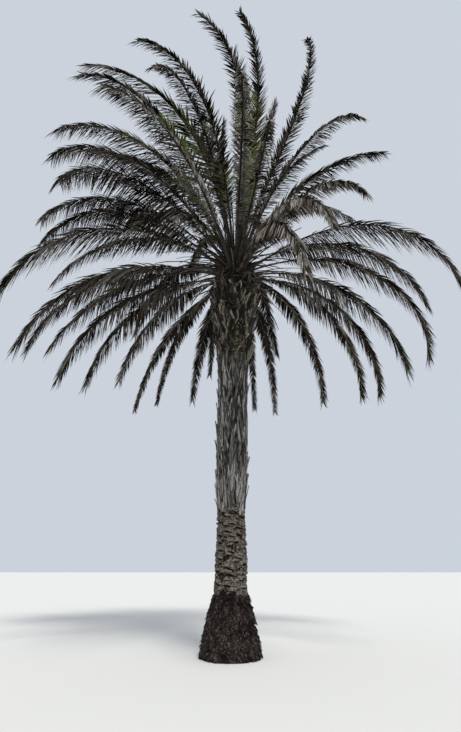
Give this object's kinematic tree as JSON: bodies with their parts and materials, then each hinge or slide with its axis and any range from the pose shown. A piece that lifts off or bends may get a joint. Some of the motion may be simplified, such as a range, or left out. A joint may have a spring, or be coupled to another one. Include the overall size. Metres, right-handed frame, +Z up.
{
  "type": "date palm tree",
  "caption": "Whole date palm: a leaning trunk with a fibrous root flare and cut leaf bases under a full crown of dry, arching fronds.",
  "frame": {"origin": "centre of the trunk's flat cut at ground level", "axes": "+Z up along the trunk, +X to the viewer's right, -Y towards the viewer"},
  "size_m": [9.8265, 10.5944, 13.2858],
  "materials": {
    "bark": "rough weathered fibre",
    "dry_frond": "dry matt leaf",
    "green_frond": "matt leaf"
  },
  "bodies": {
    "root": {"trunk": "bark", "spear_frond_1": "green_frond", "spear_frond_2": "green_frond", "spear_frond_3": "green_frond", "hooked_frond_1": "dry_frond", "hooked_frond_2": "dry_frond", "hooked_frond_3": "dry_frond", "leader_frond_1": "dry_frond", "leader_frond_2": "dry_frond", "leader_frond_3": "dry_frond", "leader_frond_4": "dry_frond", "leader_frond_5": "dry_frond", "leader_frond_6": "dry_frond", "side_frond_1": "dry_frond", "side_frond_2": "dry_frond", "crest_frond_1": "dry_frond", "crest_frond_2": "dry_frond", "crest_frond_3": "dry_frond", "crest_frond_4": "dry_frond", "crest_frond_5": "dry_frond", "stiff_frond_1": "dry_frond", "stiff_frond_2": "dry_frond", "upper_frond_1": "dry_frond", "upper_frond_2": "dry_frond", "upper_frond_3": "dry_frond", "upper_frond_4": "dry_frond", "upper_frond_5": "dry_frond", "middle_frond_1": "dry_frond", "middle_frond_2": "dry_frond", "middle_frond_3": "dry_frond", "rear_frond_1": "dry_frond", "lower_frond_1": "dry_frond", "lower_frond_2": "dry_frond", "lower_frond_3": "dry_frond", "lower_frond_4": "dry_frond", "lower_frond_5": "dry_frond", "arched_frond_1": "dry_frond", "arched_frond_2": "dry_frond", "arched_frond_3_inner": "dry_frond", "arched_frond_3_outer": "dry_frond", "arched_frond_4_inner": "dry_frond", "arched_frond_4_outer": "dry_frond", "arched_frond_5_inner": "dry_frond", "arched_frond_5_outer": "dry_frond", "arched_frond_6_inner": "dry_frond", "arched_frond_6_outer": "dry_frond", "arched_frond_7": "dry_frond", "low_frond_1": "dry_frond", "low_frond_2": "dry_frond", "low_frond_3": "dry_frond", "low_frond_4": "dry_frond", "forward_frond_1": "dry_frond", "forward_frond_2": "dry_frond", "forward_frond_3": "dry_frond", "forward_frond_4": "dry_frond", "skirt_frond_1": "dry_frond", "skirt_frond_2": "dry_frond"}
  },
  "joints": []
}
